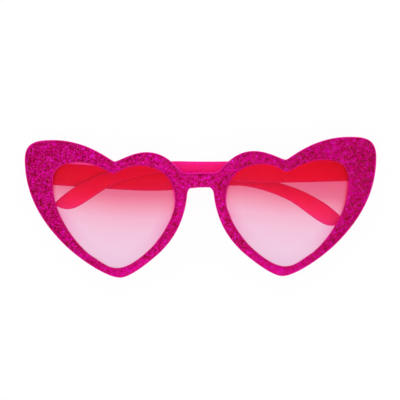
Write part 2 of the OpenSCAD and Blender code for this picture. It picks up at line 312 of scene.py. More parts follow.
@dataclass(frozen=True)
class GlitterFinish:
    """Glitter flakes under lacquer: each flake has its own colour and its own small tilt.

    The flakes are lighter in some patches than in others. Near the chins they are more alike and lighter
    by painted light, towards the wings a little darker by painted shade, and some are frosted.
    """

    name: str
    flake: float = 0.36
    flake_spread: float = 0.36
    tilt: float = 0.32
    metal: float = 0.3
    shine: float = 0.03
    rough: Swell = Swell(2.2, 0.26, 0.42)
    patch: Swell = Swell(0.6, -0.17, 0.23, 3)
    drift: Swell = Swell(0.06, -0.03, 0.05, 1)
    # painted shade towards the outer corners and painted light towards the chins
    corner: Span = (6.0, 76.0)
    corner_painted_shade: float = -0.035
    chin: Span = (-28.0, -20.0)
    chin_calm: float = 0.55
    chin_painted_light: float = 0.575
    face_light: float = 0.44
    frosted_from: float = 0.8
    frost_share: float = 0.02
    frost: Colour = paint(255, 255, 255)
    colours: tuple[tuple[float, Colour], ...] = (
        (0.0, paint(96, 0, 6)), (0.18, paint(136, 0, 30)), (0.42, paint(178, 0, 82)),
        (0.7, paint(198, 0, 126)), (0.93, paint(208, 6, 176)), (1.0, paint(228, 50, 226)))

    def cells(self, graph: Graph, places: Socket) -> Socket:
        """A random colour for each flake."""
        return graph.add("TexVoronoi", {"Vector": places, "Scale": 1 / self.flake}).outputs["Color"]

    def colour(self, graph: Graph, places: Socket, cells: Socket) -> Socket:
        """The colour of the flakes.

        Args:
            graph: The material that they go into.
            places: The place on the object, in millimetres.
            cells: The random colour of each flake.

        Returns:
            The colour output.
        """
        parts = graph.add("SeparateColor", {0: cells}).outputs
        across, up, _ = graph.add("SeparateXYZ", {0: places}).outputs
        outward = graph.sum("ADD", graph.sum("ABSOLUTE", across), up)
        own = graph.span(parts[0], 0, 1, -self.flake_spread, self.flake_spread)
        varied = graph.sum("ADD", own, graph.uneven(places, self.patch))
        calmed = graph.sum("MULTIPLY", varied, graph.span(up, *self.chin, self.chin_calm, 1))
        # painted light and shade: lighter towards the chins, darker towards the outer corners, plus a random
        # drift
        painted_light_and_drift = graph.sum("ADD", graph.span(outward, *self.corner, 0, self.corner_painted_shade),
                        graph.span(up, *self.chin, self.chin_painted_light, self.face_light))
        painted_light_and_drift = graph.sum("ADD", painted_light_and_drift, graph.uneven(places, self.drift))
        frosted = graph.span(parts[1], self.frosted_from, 1, 0, self.frost_share)
        return graph.mixed(frosted, graph.ramp(graph.sum("ADD", calmed, painted_light_and_drift), self.colours), self.frost)

    def normal(self, graph: Graph, cells: Socket) -> Socket:
        """The tilted normal of the flakes.

        Args:
            graph: The material that they go into.
            cells: The random colour of each flake.

        Returns:
            The normal output.
        """
        centred = graph.shift("SUBTRACT", cells, {1: (0.5, 0.5, 0.5)})
        tilted = graph.shift("SCALE", centred, {"Scale": self.tilt})
        plain = graph.add("NewGeometry", {}).outputs["Normal"]
        return graph.shift("NORMALIZE", graph.shift("ADD", plain, {1: tilted}), {})

    def build(self) -> bpy.types.Material:
        """Builds the glitter layer's material.

        Returns:
            The material.
        """
        graph = MaterialGraph(self.name)
        places = graph.places()
        cells = self.cells(graph, places)
        return graph.finish(graph.add("BsdfPrincipled", {
            "Base Color": self.colour(graph, places, cells), "Roughness": graph.uneven(places, self.rough),
            "Normal": self.normal(graph, cells), "Metallic": self.metal, "Specular IOR Level": self.shine}))


@dataclass(frozen=True)
class DustedFinish:
    """The front's plastic, with glitter that thins out over its rounded edges."""

    name: str
    plastic: Colour
    glitter: GlitterFinish
    reach: Span = (0.25, 0.95)
    cover: float = 0.8
    speckle: Swell = Swell(2.4, 0.15, 1.0, 2, (0.42, 0.58))
    rough: Swell = Swell(1.6, 0.24, 0.36, 4)
    shine: float = 0.05

    def build(self) -> bpy.types.Material:
        """Builds the dusted plastic's material.

        Returns:
            The material.
        """
        graph = MaterialGraph(self.name)
        places = graph.places()
        flakes = self.glitter.colour(graph, places, self.glitter.cells(graph, places))
        dust = graph.span(graph.facing(), *self.reach, 0, self.cover)
        share = graph.sum("MULTIPLY", dust, graph.uneven(places, self.speckle))
        return graph.finish(graph.add("BsdfPrincipled", {
            "Base Color": graph.mixed(share, self.plastic, flakes),
            "Roughness": graph.uneven(places, self.rough), "Specular IOR Level": self.shine}))


@dataclass(frozen=True)
class LensFinish:
    """Clear plastic with a rose tint that fades from the top of the lens to its foot, a little askew.

    Along its upper half a painted shadow of the rim deepens the tint near its edge, more deeply on its
    outer side, and a wider painted shade follows the whole edge.
    """

    name: str
    low: float
    high: float
    middle_x: float
    bow: float
    tints: tuple[tuple[float, Colour], ...]
    askew: float = 6.5
    drift: Swell = Swell(0.05, -0.01, 0.01, 1)
    # painted shadow of the rim: a deeper tint near the edge, deepest on the outer side
    rim_shadow_tint: Colour = paint(245, 60, 142)
    rim_shadow_span: Span = (0.3, 1.7)
    rim_shadow_power: float = 2.0
    rim_shadow_heights: Span = (0.5, 0.75)
    rim_shadow_low_share: float = 0.05
    outer_shadow_tint: Colour = paint(220, 26, 84)
    outer_shadow_span: Span = (18.0, 25.0)
    # painted shade: a wider band that deepens the tint along the whole edge, most at mid height
    rim_shade_tint: Colour = paint(248, 70, 196)
    rim_shade_w: float = 6.0
    rim_shade_power: float = 1.5
    rim_shade_height: float = 0.42
    rim_shade_reach: float = 0.3
    rim_shade_shares: Span = (0.4, 0.08)
    rough: float = 0.02
    shine: float = 0.25
    bending: float = 1.49
    light_kept: Colour = (1.0, 0.0, 0.1, 1.0)
    faces: int = 2

    def tint(self, graph: MaterialGraph) -> Socket:
        """The lens's tint, with the painted shadow of the rim and the wider painted shade along its edge.

        Args:
            graph: The material that it goes into.

        Returns:
            The colour output.
        """
        places = graph.places()
        across, up, _ = graph.add("SeparateXYZ", {0: places}).outputs
        aside = graph.sum("SUBTRACT", across, self.middle_x)
        slant = graph.sum("MULTIPLY", aside, math.tan(math.radians(self.askew)))
        bowed = graph.sum("MULTIPLY", graph.sum("MULTIPLY", aside, aside), self.bow)
        height = graph.sum("ADD", up, graph.sum("SUBTRACT", slant, bowed))
        share = graph.span(height, self.low, self.high, 0, 1)
        plain = graph.ramp(graph.sum("ADD", share, graph.uneven(places, self.drift)), self.tints)
        # painted shade along the whole edge, strongest at mid height
        from_middle = graph.sum("ABSOLUTE", graph.sum("SUBTRACT", share, self.rim_shade_height))
        near = graph.near_rim(0, self.rim_shade_w, self.rim_shade_power)
        rim_shade = graph.sum("MULTIPLY", near, graph.span(from_middle, 0, self.rim_shade_reach, *self.rim_shade_shares))
        rim_shaded = graph.mixed(rim_shade, plain, self.rim_shade_tint, "MULTIPLY")
        # painted shadow of the rim on the upper half, turning deeper towards the outer side
        near = graph.near_rim(*self.rim_shadow_span, self.rim_shadow_power)
        rim_shadow = graph.sum("MULTIPLY", near, graph.span(share, *self.rim_shadow_heights, self.rim_shadow_low_share, 1))
        outward = graph.sum("MULTIPLY", aside, math.copysign(1, self.middle_x))
        rim = graph.mixed(graph.span(outward, *self.outer_shadow_span, 0, 1), self.rim_shadow_tint, self.outer_shadow_tint)
        return graph.mixed(rim_shadow, rim_shaded, rim)

    def build(self) -> bpy.types.Material:
        """Builds the lens's material, which lets light fall through on what lies behind it.

        Returns:
            The material.
        """
        graph = MaterialGraph(self.name)
        tint = self.tint(graph)
        glass = graph.add("BsdfPrincipled", {
            "Base Color": tint, "Roughness": self.rough, "IOR": self.bending, "Transmission Weight": 1.0,
            "Specular IOR Level": self.shine})
        fallen = graph.mixed(1.0, tint, self.light_kept, "SCREEN")
        through_face = graph.add("Gamma", {"Color": fallen, "Gamma": 1 / self.faces}).outputs[0]
        clear = graph.add("BsdfTransparent", {"Color": through_face})
        rays = graph.add("LightPath", {}).outputs
        lighting = graph.sum("MAXIMUM", rays["Is Shadow Ray"], rays["Is Diffuse Ray"])
        return graph.finish(graph.add("MixShader", {0: lighting, 1: glass.outputs[0], 2: clear.outputs[0]}))


@dataclass(frozen=True)
class SteelFinish:
    """Nickelled steel with fine brushing and a little tarnish."""

    name: str
    bright: Colour
    dull: Colour
    rough: Swell = Swell(3.0, 0.22, 0.38, 3)
    tarnish: Swell = Swell(0.9, 0.0, 1.0, 4, (0.4, 0.7))
    grain: tuple[float, float, float] = (0.6, 6.0, 6.0)
    groove: float = 0.02
    groove_strength: float = 0.2

    def build(self) -> bpy.types.Material:
        """Builds the steel's material.

        Returns:
            The material.
        """
        graph = MaterialGraph(self.name)
        places = graph.places()
        along_grain = graph.add("Mapping", {0: places, "Scale": self.grain}).outputs[0]
        brushing = graph.noise(along_grain, self.rough.scale, self.rough.detail)
        bump = graph.add("Bump", {
            "Height": brushing, "Strength": self.groove_strength, "Distance": self.groove * MM})
        return graph.finish(graph.add("BsdfPrincipled", {
            "Base Color": graph.mixed(graph.uneven(places, self.tarnish), self.bright, self.dull),
            "Metallic": 1.0, "Roughness": graph.spread(brushing, self.rough), "Normal": bump.outputs[0]}))


@dataclass(frozen=True)
class Finishes:
    """Every finish on the pair, built once."""

    front: bpy.types.Material
    glitter: bpy.types.Material
    opening: bpy.types.Material
    bare: bpy.types.Material
    lenses: dict[Side, bpy.types.Material]
    arm: bpy.types.Material
    hinge: bpy.types.Material
    screw: bpy.types.Material


@dataclass(frozen=True)
class Knot:
    """A place on an outline, its heading, and the handles before and after it."""

    place: tuple[float, float]
    angle: float
    before: float
    after: float

    @property
    def heading(self) -> np.ndarray:
        """The unit direction of the outline here."""
        turn = math.radians(self.angle)
        return np.array([math.cos(turn), math.sin(turn)])


class Trace:
    """Points along a smooth outline, each with the direction square to its left."""

    def __init__(self, knots: Sequence[Knot], closed: bool, steps: int) -> None:
        """Samples the outline.

        Args:
            knots: The outline's knots.
            closed: Whether the last knot joins the first.
            steps: Points along each stretch.
        """
        points, lefts = [], []
        ends = list(knots[1:]) + ([knots[0]] if closed else [])
        for start, end in zip(knots, ends):
            first, last = np.array(start.place), np.array(end.place)
            second = first + start.after * start.heading
            third = last - end.before * end.heading
            for step in range(steps):
                t = step / steps
                u = 1 - t
                points.append(u**3 * first + 3 * u * u * t * second + 3 * u * t * t * third + t**3 * last)
                slope = u * u * (second - first) + 2 * u * t * (third - second) + t * t * (last - third)
                lefts.append(self.left_of(slope))
        if not closed:
            points.append(np.array(knots[-1].place))
            lefts.append(self.left_of(knots[-1].heading))
        self.points = np.array(points)
        self.lefts = np.array(lefts)

    @staticmethod
    def left_of(slope: np.ndarray) -> np.ndarray:
        """The unit direction square to the left of a slope."""
        return np.array([-slope[1], slope[0]]) / np.hypot(*slope)

    def shifted(self, left: float | np.ndarray) -> np.ndarray:
        """The outline moved to its left."""
        return self.points + left * self.lefts


def rounding(radius: float, steps: int) -> Profile:
    """A quarter round from a face to the wall beside it.

    Args:
        radius: Its radius.
        steps: Its number of stretches.

    Returns:
        Pairs of a distance in from the wall and a distance down from the face.
    """
    turns = [math.pi / 2 * step / steps for step in range(steps + 1)]
    return [(radius * (1 - math.sin(turn)), radius * (1 - math.cos(turn))) for turn in turns]


def rounding_up(top: float, radius: float, steps: int) -> Profile:
    """The same round from its wall up to a face at this height, as distances in and heights."""
    return [(inset, top - down) for inset, down in reversed(rounding(radius, steps))]


class Moulding:
    """A closed mesh that is put together from rings of points and the faces between them."""

    added_from: float = 0.6

    def __init__(self) -> None:
        """Starts with no points."""
        self.points: list[np.ndarray] = []
        self.faces: list[list[int]] = []
        self.second_faces: list[int] = []
        self.rim: np.ndarray | None = None

    def ring(self, places: np.ndarray) -> list[int]:
        """Adds points.

        Args:
            places: The points, in order.

        Returns:
            Their numbers.
        """
        first = len(self.points)
        self.points.extend(places)
        return list(range(first, len(self.points)))

    def skirt(self, rings: Sequence[list[int]]) -> None:
        """Joins each closed ring to the next with four-sided faces.

        Args:
            rings: The numbers of each ring's points.
        """
        for low, high in zip(rings, rings[1:]):
            for i, j in zip(range(len(low)), [*range(1, len(low)), 0]):
                self.faces.append([low[i], low[j], high[j], high[i]])

    @staticmethod
    def inside(places: np.ndarray, loops: Sequence[np.ndarray]) -> np.ndarray:
        """Whether each place is inside an odd number of loops.

        Args:
            places: Flat places.
            loops: The points of each closed loop.

        Returns:
            True or false for each place.
        """
        found = np.zeros(len(places), bool)
        for loop in loops:
            for (ax, ay), (bx, by) in zip(loop, np.roll(loop, -1, axis=0)):
                if ay != by:
                    spans = (ay > places[:, 1]) != (by > places[:, 1])
                    found ^= spans & (places[:, 0] < ax + (places[:, 1] - ay) / (by - ay) * (bx - ax))
        return found

    @staticmethod
    def gaps(places: np.ndarray, edge: np.ndarray) -> np.ndarray:
        """Each place's distance to the nearest point of an edge."""
        return np.sqrt(((places[:, None] - edge[None]) ** 2).sum(2)).min(1)

    def cap(self, loops: Sequence[list[int]], lift: Lift, spacing: float = GRID) -> None:
        """Fills the face between loops of points with even triangles.

        Args:
            loops: The numbers of the points of the outer loop and of each hole.
            lift: Gives z for places on the face.
            spacing: Distance between the points that are added inside.
        """
        flat = [np.array([self.points[i][:2] for i in loop]) for loop in loops]
        edge = np.vstack(flat)
        low, high = edge.min(0), edge.max(0)
        across = np.arange(low[0] + spacing / 2, high[0], spacing)
        up = np.arange(low[1] + spacing / 2, high[1], spacing)
        grid = np.array([[x + spacing / 2 * (row % 2), y] for row, y in enumerate(up) for x in across])
        added = np.zeros((0, 2))
        if len(grid):
            inner = grid[self.inside(grid, flat)]
            if len(inner):
                added = inner[self.gaps(inner, edge) > self.added_from * spacing]
        numbers = [i for loop in loops for i in loop]
        numbers += self.ring(np.column_stack([added, lift(added)])) if len(added) else []
        places = np.vstack([edge, added])
        bounds, first = [], 0
        for loop in loops:
            count = len(loop)
            bounds += [(first + i, first + (i + 1) % count) for i in range(count)]
            first += count
        found = delaunay_2d_cdt([Vector(p) for p in places], bounds, [], 0, TINY)
        middles = np.array([np.mean([found[0][i] for i in face], axis=0) for face in found[2]])
        for face, kept in zip(found[2], self.inside(middles, flat)):
            if kept:
                self.faces.append([numbers[found[3][i][0]] for i in face])

    def build(self, name: str, placing: Matrix, *materials: bpy.types.Material) -> bpy.types.Object:
        """Makes the mesh an object.

        Where the mesh has a rim, each point keeps how far in from it it lies, in millimetres, for the
        finish to use.

        Args:
            name: The piece's name.
            placing: Moves it from its own frame to the row's.
            materials: Its finish, and the one of its second faces.

        Returns:
            The new object, with smooth faces and sharp creases.
        """
        mesh = bpy.data.meshes.new(name)
        mesh.from_pydata([placing @ Vector(p) for p in self.points], [], self.faces)
        for material in materials:
            mesh.materials.append(material)
        for number in self.second_faces:
            mesh.polygons[number].material_index = 1
        if self.rim is not None:
            flat = np.array([point[:2] for point in self.points])
            gaps = self.gaps(flat, self.rim)
            gaps[~self.inside(flat, [self.rim])] *= -1
            mesh.attributes.new(RIM_GAP, "FLOAT", "POINT").data.foreach_set("value", gaps)
        work = bmesh.new()
        work.from_mesh(mesh)
        bmesh.ops.remove_doubles(work, verts=work.verts, dist=TINY)
        bmesh.ops.recalc_face_normals(work, faces=work.faces)
        for face in work.faces:
            face.smooth = True
        for edge in work.edges:
            edge.smooth = len(edge.link_faces) == 2 and edge.calc_face_angle(0) < CREASE
        work.to_mesh(mesh)
        work.free()
        return add_object(name, mesh)


@dataclass
class FrontShape:
    """The outlines and the curve that the front, its glitter and its lenses share."""

    lens_w: float = 52.3
    lens_h: float = 45.2
    bridge_gap: float = 21.8
    lens_t: float = 1.8
    groove_depth: float = 0.8
    lens_fit: float = 0.05
    front_t: float = 3.6
    face_r: float = 520.0
    rim_w: float = 4.7
    chin_w: float = 4.2
    nose_rim_w: float = 5.25
    lobe_rim_w: float = 5.7
    notch_rim_w: float = 5.2
    brow_w: float = 9.75
    wing_w: float = 12.05
    bridge_h: float = 6.3
    nose_corner: float = 2.9
    lobe_share: float = 0.928
    notch_share: float = 0.782
    bridge_top_share: float = 0.779
    bridge_flat_share: float = 0.54
    bend_share: float = 0.83
    climb_share: float = 0.29
    wing_share: float = 0.87
    chin_share: float = 0.09
    corner_share: float = 0.7
    steps: int = 22

    def __post_init__(self) -> None:
        """Works out the places of the lens and the edges, and traces both outlines."""
        self.lens_x = self.bridge_gap / 2 + self.lens_w / 2
        self.edge_x = self.lens_x + self.lens_w / 2 + self.wing_w
        self.top_y = self.lens_h / 2 + self.brow_w
        self.bottom_y = -self.lens_h / 2 - self.chin_w
        self.lens_back = (self.front_t - self.lens_t) / 2
        self.heart_trace = Trace(self.heart_knots(), True, self.steps)
        self.half_trace = Trace(self.half_knots(), False, self.steps)

    def drop(self, x: float) -> float:
        """How far the back lies behind its middle at a distance to the side."""
        return self.face_r - math.sqrt(self.face_r**2 - x * x)

    def on_lens(self, x_share: float, y_share: float) -> tuple[float, float]:
        """A place in half sizes of the lens from its middle."""
        return self.lens_x + x_share * self.lens_w / 2, y_share * self.lens_h / 2

    def on_rim(self, x_share: float, y_share: float, angle: float) -> tuple[float, float]:
        """A place a rim's width outside the opening.

        Args:
            x_share: The opening's place along x, in half sizes of the lens from its middle.
            y_share: The same along y.
            angle: The outline's angle there.

        Returns:
            The place.
        """
        x, y = self.on_lens(x_share, y_share)
        turn = math.radians(angle + 90)
        return x + self.rim_w * math.cos(turn), y + self.rim_w * math.sin(turn)

    def knot(self, place: tuple[float, float], angle: float, before: float, after: float) -> Knot:
        """A knot whose handles are shares of the lens's width."""
        return Knot(place, angle, before * self.lens_w, after * self.lens_w)

    def heart_knots(self) -> list[Knot]:
        """Draws the right lens opening.

        Returns:
            The outline's knots, from its notch over its inner lobe.
        """
        heart_shares = (
            (-0.004, self.notch_share, 180, 0.04, 0.04), (-0.395, self.lobe_share, 180, 0.12, 0.15),
            (-1, 0.264, -90, 0.21, 0.15), (-0.6, -0.63, -43.5, 0.07, 0.155),
            (-0.05, -1, 0, 0.07, 0.08), (0.37, -0.77, 32, 0.11, 0.09),
            (1, 0.6, 90, 0.29, 0.07), (0.585, 1, 180, 0.195, 0.16))
        return [self.knot(self.on_lens(x, y), *heading) for x, y, *heading in heart_shares]

    def half_knots(self) -> list[Knot]:
        """Draws the right half of the front.

        Returns:
            The outline's knots, from the flat top of the bridge to its underside.
        """
        bridge_top = self.bridge_top_share * self.lens_h / 2
        bridge_bottom = bridge_top - self.bridge_h
        lobe_x, lobe_y = self.on_lens(-0.538, self.lobe_share)
        notch_x, notch_y = self.on_lens(-0.016, self.notch_share)
        half_gap = self.bridge_gap / 2
        nose_x = half_gap - self.nose_rim_w
        bend = (self.bend_share * half_gap, bridge_top + self.climb_share * self.bridge_h)
        chin_x = self.lens_x - self.chin_share * self.lens_w / 2
        return [
            self.knot((self.bridge_flat_share * half_gap, bridge_top), 0, 0.025, 0.025),
            self.knot(bend, 47, 0.025, 0.11),
            self.knot((lobe_x, lobe_y + self.lobe_rim_w), 0, 0.115, 0.122),
            self.knot((notch_x, notch_y + self.notch_rim_w), 8.5, 0.03, 0.03),
            self.knot((self.lens_x + self.lens_w / 2, self.top_y), 0, 0.29, 0.125),
            self.knot((self.edge_x, self.top_y - self.wing_share * self.brow_w), -90, 0.155, 0.25),
            self.knot(self.on_rim(0.665, -0.435, -136), -136, 0.325, 0.17),
            self.knot((chin_x, self.bottom_y), 180, 0.1, 0.065),
            self.knot(self.on_rim(-0.565, -0.625, 140), 140, 0.165, 0.185),
            self.knot((nose_x, bridge_bottom - self.nose_corner), 96, 0.225, 0.03),
            self.knot((nose_x - self.corner_share * self.nose_corner, bridge_bottom), 180, 0.02, 0.02)]

    def heart(self, side: Side, grown: float) -> np.ndarray:
        """The outline of one lens opening, grown into the rim."""
        return self.heart_trace.shifted(-grown) * [side.value, 1]

    def outline(self, drawn_in: float) -> np.ndarray:
        """The outline of the front, drawn in."""
        half = self.half_trace.shifted(-drawn_in)
        return np.vstack([half, half[::-1] * [-1, 1]])

    def face(self, height: float) -> Lift:
        """The front's curved face at a height above its back, for a cap."""
        return lambda flat: np.sqrt((self.face_r + height) ** 2 - flat[:, 0] ** 2) - self.face_r

    def bent(self, flat: np.ndarray, height: float) -> np.ndarray:
        """Flat places put on the front's curve, at a height above its back."""
        return np.column_stack([flat, self.face(height)(flat)])

    def heart_wall(self, mould: Moulding, side: Side, edge: Profile) -> list[list[int]]:
        """Adds the rings of one lens opening, at distances into the rim and heights."""
        return [mould.ring(self.bent(self.heart(side, inset), height)) for inset, height in edge]

    def walls(self, mould: Moulding, edge: Profile, opening: Profile) -> list[list[list[int]]]:
        """Adds the rings of the outer edge and of both lens openings.

        Args:
            mould: The mesh that they go into.
            edge: The outer edge, as distances in and heights.
            opening: An opening's edge, as distances into the rim and heights.

        Returns:
            The numbers of each wall's rings, the outer wall first.
        """
        outer = [mould.ring(self.bent(self.outline(inset), height)) for inset, height in edge]
        return [outer, *(self.heart_wall(mould, side, opening) for side in Side)]


@dataclass
class HingeShape:
    """The sizes of the hinges, and the places that follow from them."""

    front: FrontShape
    pin_inset: float = 6.2
    hinge_rise: float = 18.0
    pin_stand: float = 2.0
    pin_off: float = 1.55
    knuckle_r: float = 1.25
    knuckle_h: float = 2.0
    knuckle_gap: float = 0.08
    leaf_t: float = 0.6
    front_leaf_reach: float = 3.2
    temple_leaf_reach: float = 5.0
    inlay_fit: float = 0.03
    leaf_edge: float = 0.35
    land_rise: float = 0.2

    def __post_init__(self) -> None:
        """Works out the place of the right pin and of the land before it."""
        self.pin_x = self.front.edge_x - self.pin_inset
        self.land_z = -self.front.drop(self.front.edge_x) - self.land_rise
        self.pin_z = self.land_z - self.pin_stand
        self.height = 3 * self.knuckle_h + 2 * self.knuckle_gap

    def pocket(self, low: float, high: float, height: float) -> np.ndarray:
        """The corners of a leaf's pocket about the pin.

        Args:
            low: Where the leaf starts along x.
            high: Where it ends.
            height: The leaf's height.

        Returns:
            The four corners, with room for the leaf all round.
        """
        fit, tall = self.inlay_fit, height / 2 + self.inlay_fit
        low, high = low - fit, high + fit
        return np.array([[low, -tall], [high, -tall], [high, tall], [low, tall]])


@dataclass
class ArmShape:
    """The outline and thickness of an arm, drawn as it lies folded on the right side."""

    hinge: HingeShape
    arm_len: float = 131.4
    arm_h: float = 9.8
    arm_root_t: float = 3.2
    arm_tip_t: float = 2.6
    arm_round: float = 0.9
    arm_gap: float = 0.35
    left_lean: float = 2.2
    right_lean: float = 1.6
    splay: float = 2.0
    end_gap: float = 0.15
    cross_share: float = 0.93
    tip_share: float = 0.4
    steps: int = 12

    def __post_init__(self) -> None:
        """Traces both edges and works out the tilts at which the folded arms cross."""
        self.outer_z = -self.hinge.pin_off - self.arm_root_t
        low_shares = (
            (0, -0.455, -2, 0.08, 0.11), (0.345, -0.615, 0, 0.12, 0.124),
            (0.654, -0.28, 0, 0.124, 0.043), (0.835, -1.005, -32.5, 0.056, 0.063),
            (0.957, -1.93, 0, 0.033, 0.014), (1, -1.735, 45, 0.014, 0.01))
        high_shares = (
            (0, 0.51, 0, 0.08, 0.1), (0.297, 0.37, -2, 0.107, 0.075),
            (0.59, 0.27, 1, 0.09, 0.06), (0.815, -0.215, -18, 0.065, 0.05),
            (0.926, -0.87, -29, 0.055, 0.024), (1, -1.665, -50, 0.025, 0.01))
        self.low, self.high = (
            Trace([self.knot(*row) for row in shares], False, self.steps)
            for shares in (low_shares, high_shares))
        far = self.cross_share * self.arm_len
        near = 2 * self.hinge.pin_x - far
        apart = [self.thickness(place) + self.arm_gap for place in (near, far)]
        span = far * far - near * near
        self.right_tilt = math.atan((far * apart[0] - near * apart[1]) / span)
        self.left_tilt = math.atan((far * apart[1] - near * apart[0]) / span)

    def knot(self, x_share: float, y_share: float, angle: float, before: float, after: float) -> Knot:
        """A knot in shares of the arm's length and height."""
        place = (x_share * self.arm_len, y_share * self.arm_h)
        return Knot(place, angle, before * self.arm_len, after * self.arm_len)

    def lean(self, side: Side) -> float:
        """How far a folded arm is turned clockwise, in radians."""
        return math.radians(self.left_lean if side is Side.LEFT else self.right_lean)

    def thickness(self, along: float) -> float:
        """The arm's thickness at a distance from the pin."""
        return self.arm_root_t + (self.arm_tip_t - self.arm_root_t) * along / self.arm_len

    def inner_face(self, flat: np.ndarray) -> np.ndarray:
        """The z of places on the arm's inner face."""
        return np.array([self.outer_z + self.thickness(-x) for x, _ in flat])

    def root_along(self, deep: float) -> float:
        """Where the root end starts, so that it lies flat on the land when the arm is open.

        Args:
            deep: A depth under the arm's inner face at the root.

        Returns:
            The start's distance from the pin along the arm.
        """
        turn = math.radians(self.splay)
        away = self.hinge.pin_stand - self.end_gap
        return -(away - (self.hinge.pin_off + deep) * math.sin(turn)) / math.cos(turn)

    def ring(self, inset: float, down: float, inner: bool) -> np.ndarray:
        """The arm's outline drawn in, at a depth under its outer or its inner face.

        Args:
            inset: How far it is drawn in.
            down: How far it lies under the face.
            inner: Whether that is the inner face.

        Returns:
            The ring's points about the pin.
        """
        points = []
        apart = np.hypot(*(self.low.points - self.high.points).T)
        kept = np.minimum(inset, self.tip_share * apart)[:, None]
        for trace, left, order in ((self.low, kept, 1), (self.high, -kept, -1)):
            edge = []
            for i, (along, up) in enumerate(trace.shifted(left)):
                face = self.arm_root_t - self.thickness(along)
                deep = face + down if inner else self.arm_root_t - down
                x = self.root_along(deep) if i == 0 else along
                edge.append([-x, up, -self.hinge.pin_off - deep])
            points += edge[::order]
        return np.array(points)


class Resting:
    """Places the front and the arms as the folded pair lies on a table."""

    def __init__(self, arm: ArmShape) -> None:
        """Works out the placings.

        Args:
            arm: The arm, with its hinge and its front.
        """
        hinge, front = arm.hinge, arm.hinge.front
        lean = arm.lean(Side.LEFT)
        left_pin = Vector((-hinge.pin_x, hinge.hinge_rise, hinge.pin_z))
        shift = Vector((0, -(front.top_y + front.bottom_y) / 2, -arm.outer_z - hinge.pin_z))
        direction = Vector((math.sin(lean), math.cos(lean), 0))
        turn = Matrix.Rotation(-arm.left_tilt, 4, direction)
        about = Matrix.Translation(left_pin) @ turn @ Matrix.Translation(-left_pin)
        self.front = Matrix.Scale(MM, 4) @ Matrix.Translation(shift) @ about
        self.arms: dict[Side, Matrix] = {}
        for side, tilt in ((Side.LEFT, -arm.left_tilt), (Side.RIGHT, arm.right_tilt)):
            pin = Matrix.Translation((side.value * hinge.pin_x, hinge.hinge_rise, hinge.pin_z))
            leaned = self.front @ pin @ Matrix.Rotation(-arm.lean(side), 4, "Z")
            self.arms[side] = leaned @ side.mirror @ Matrix.Rotation(tilt, 4, "Y")


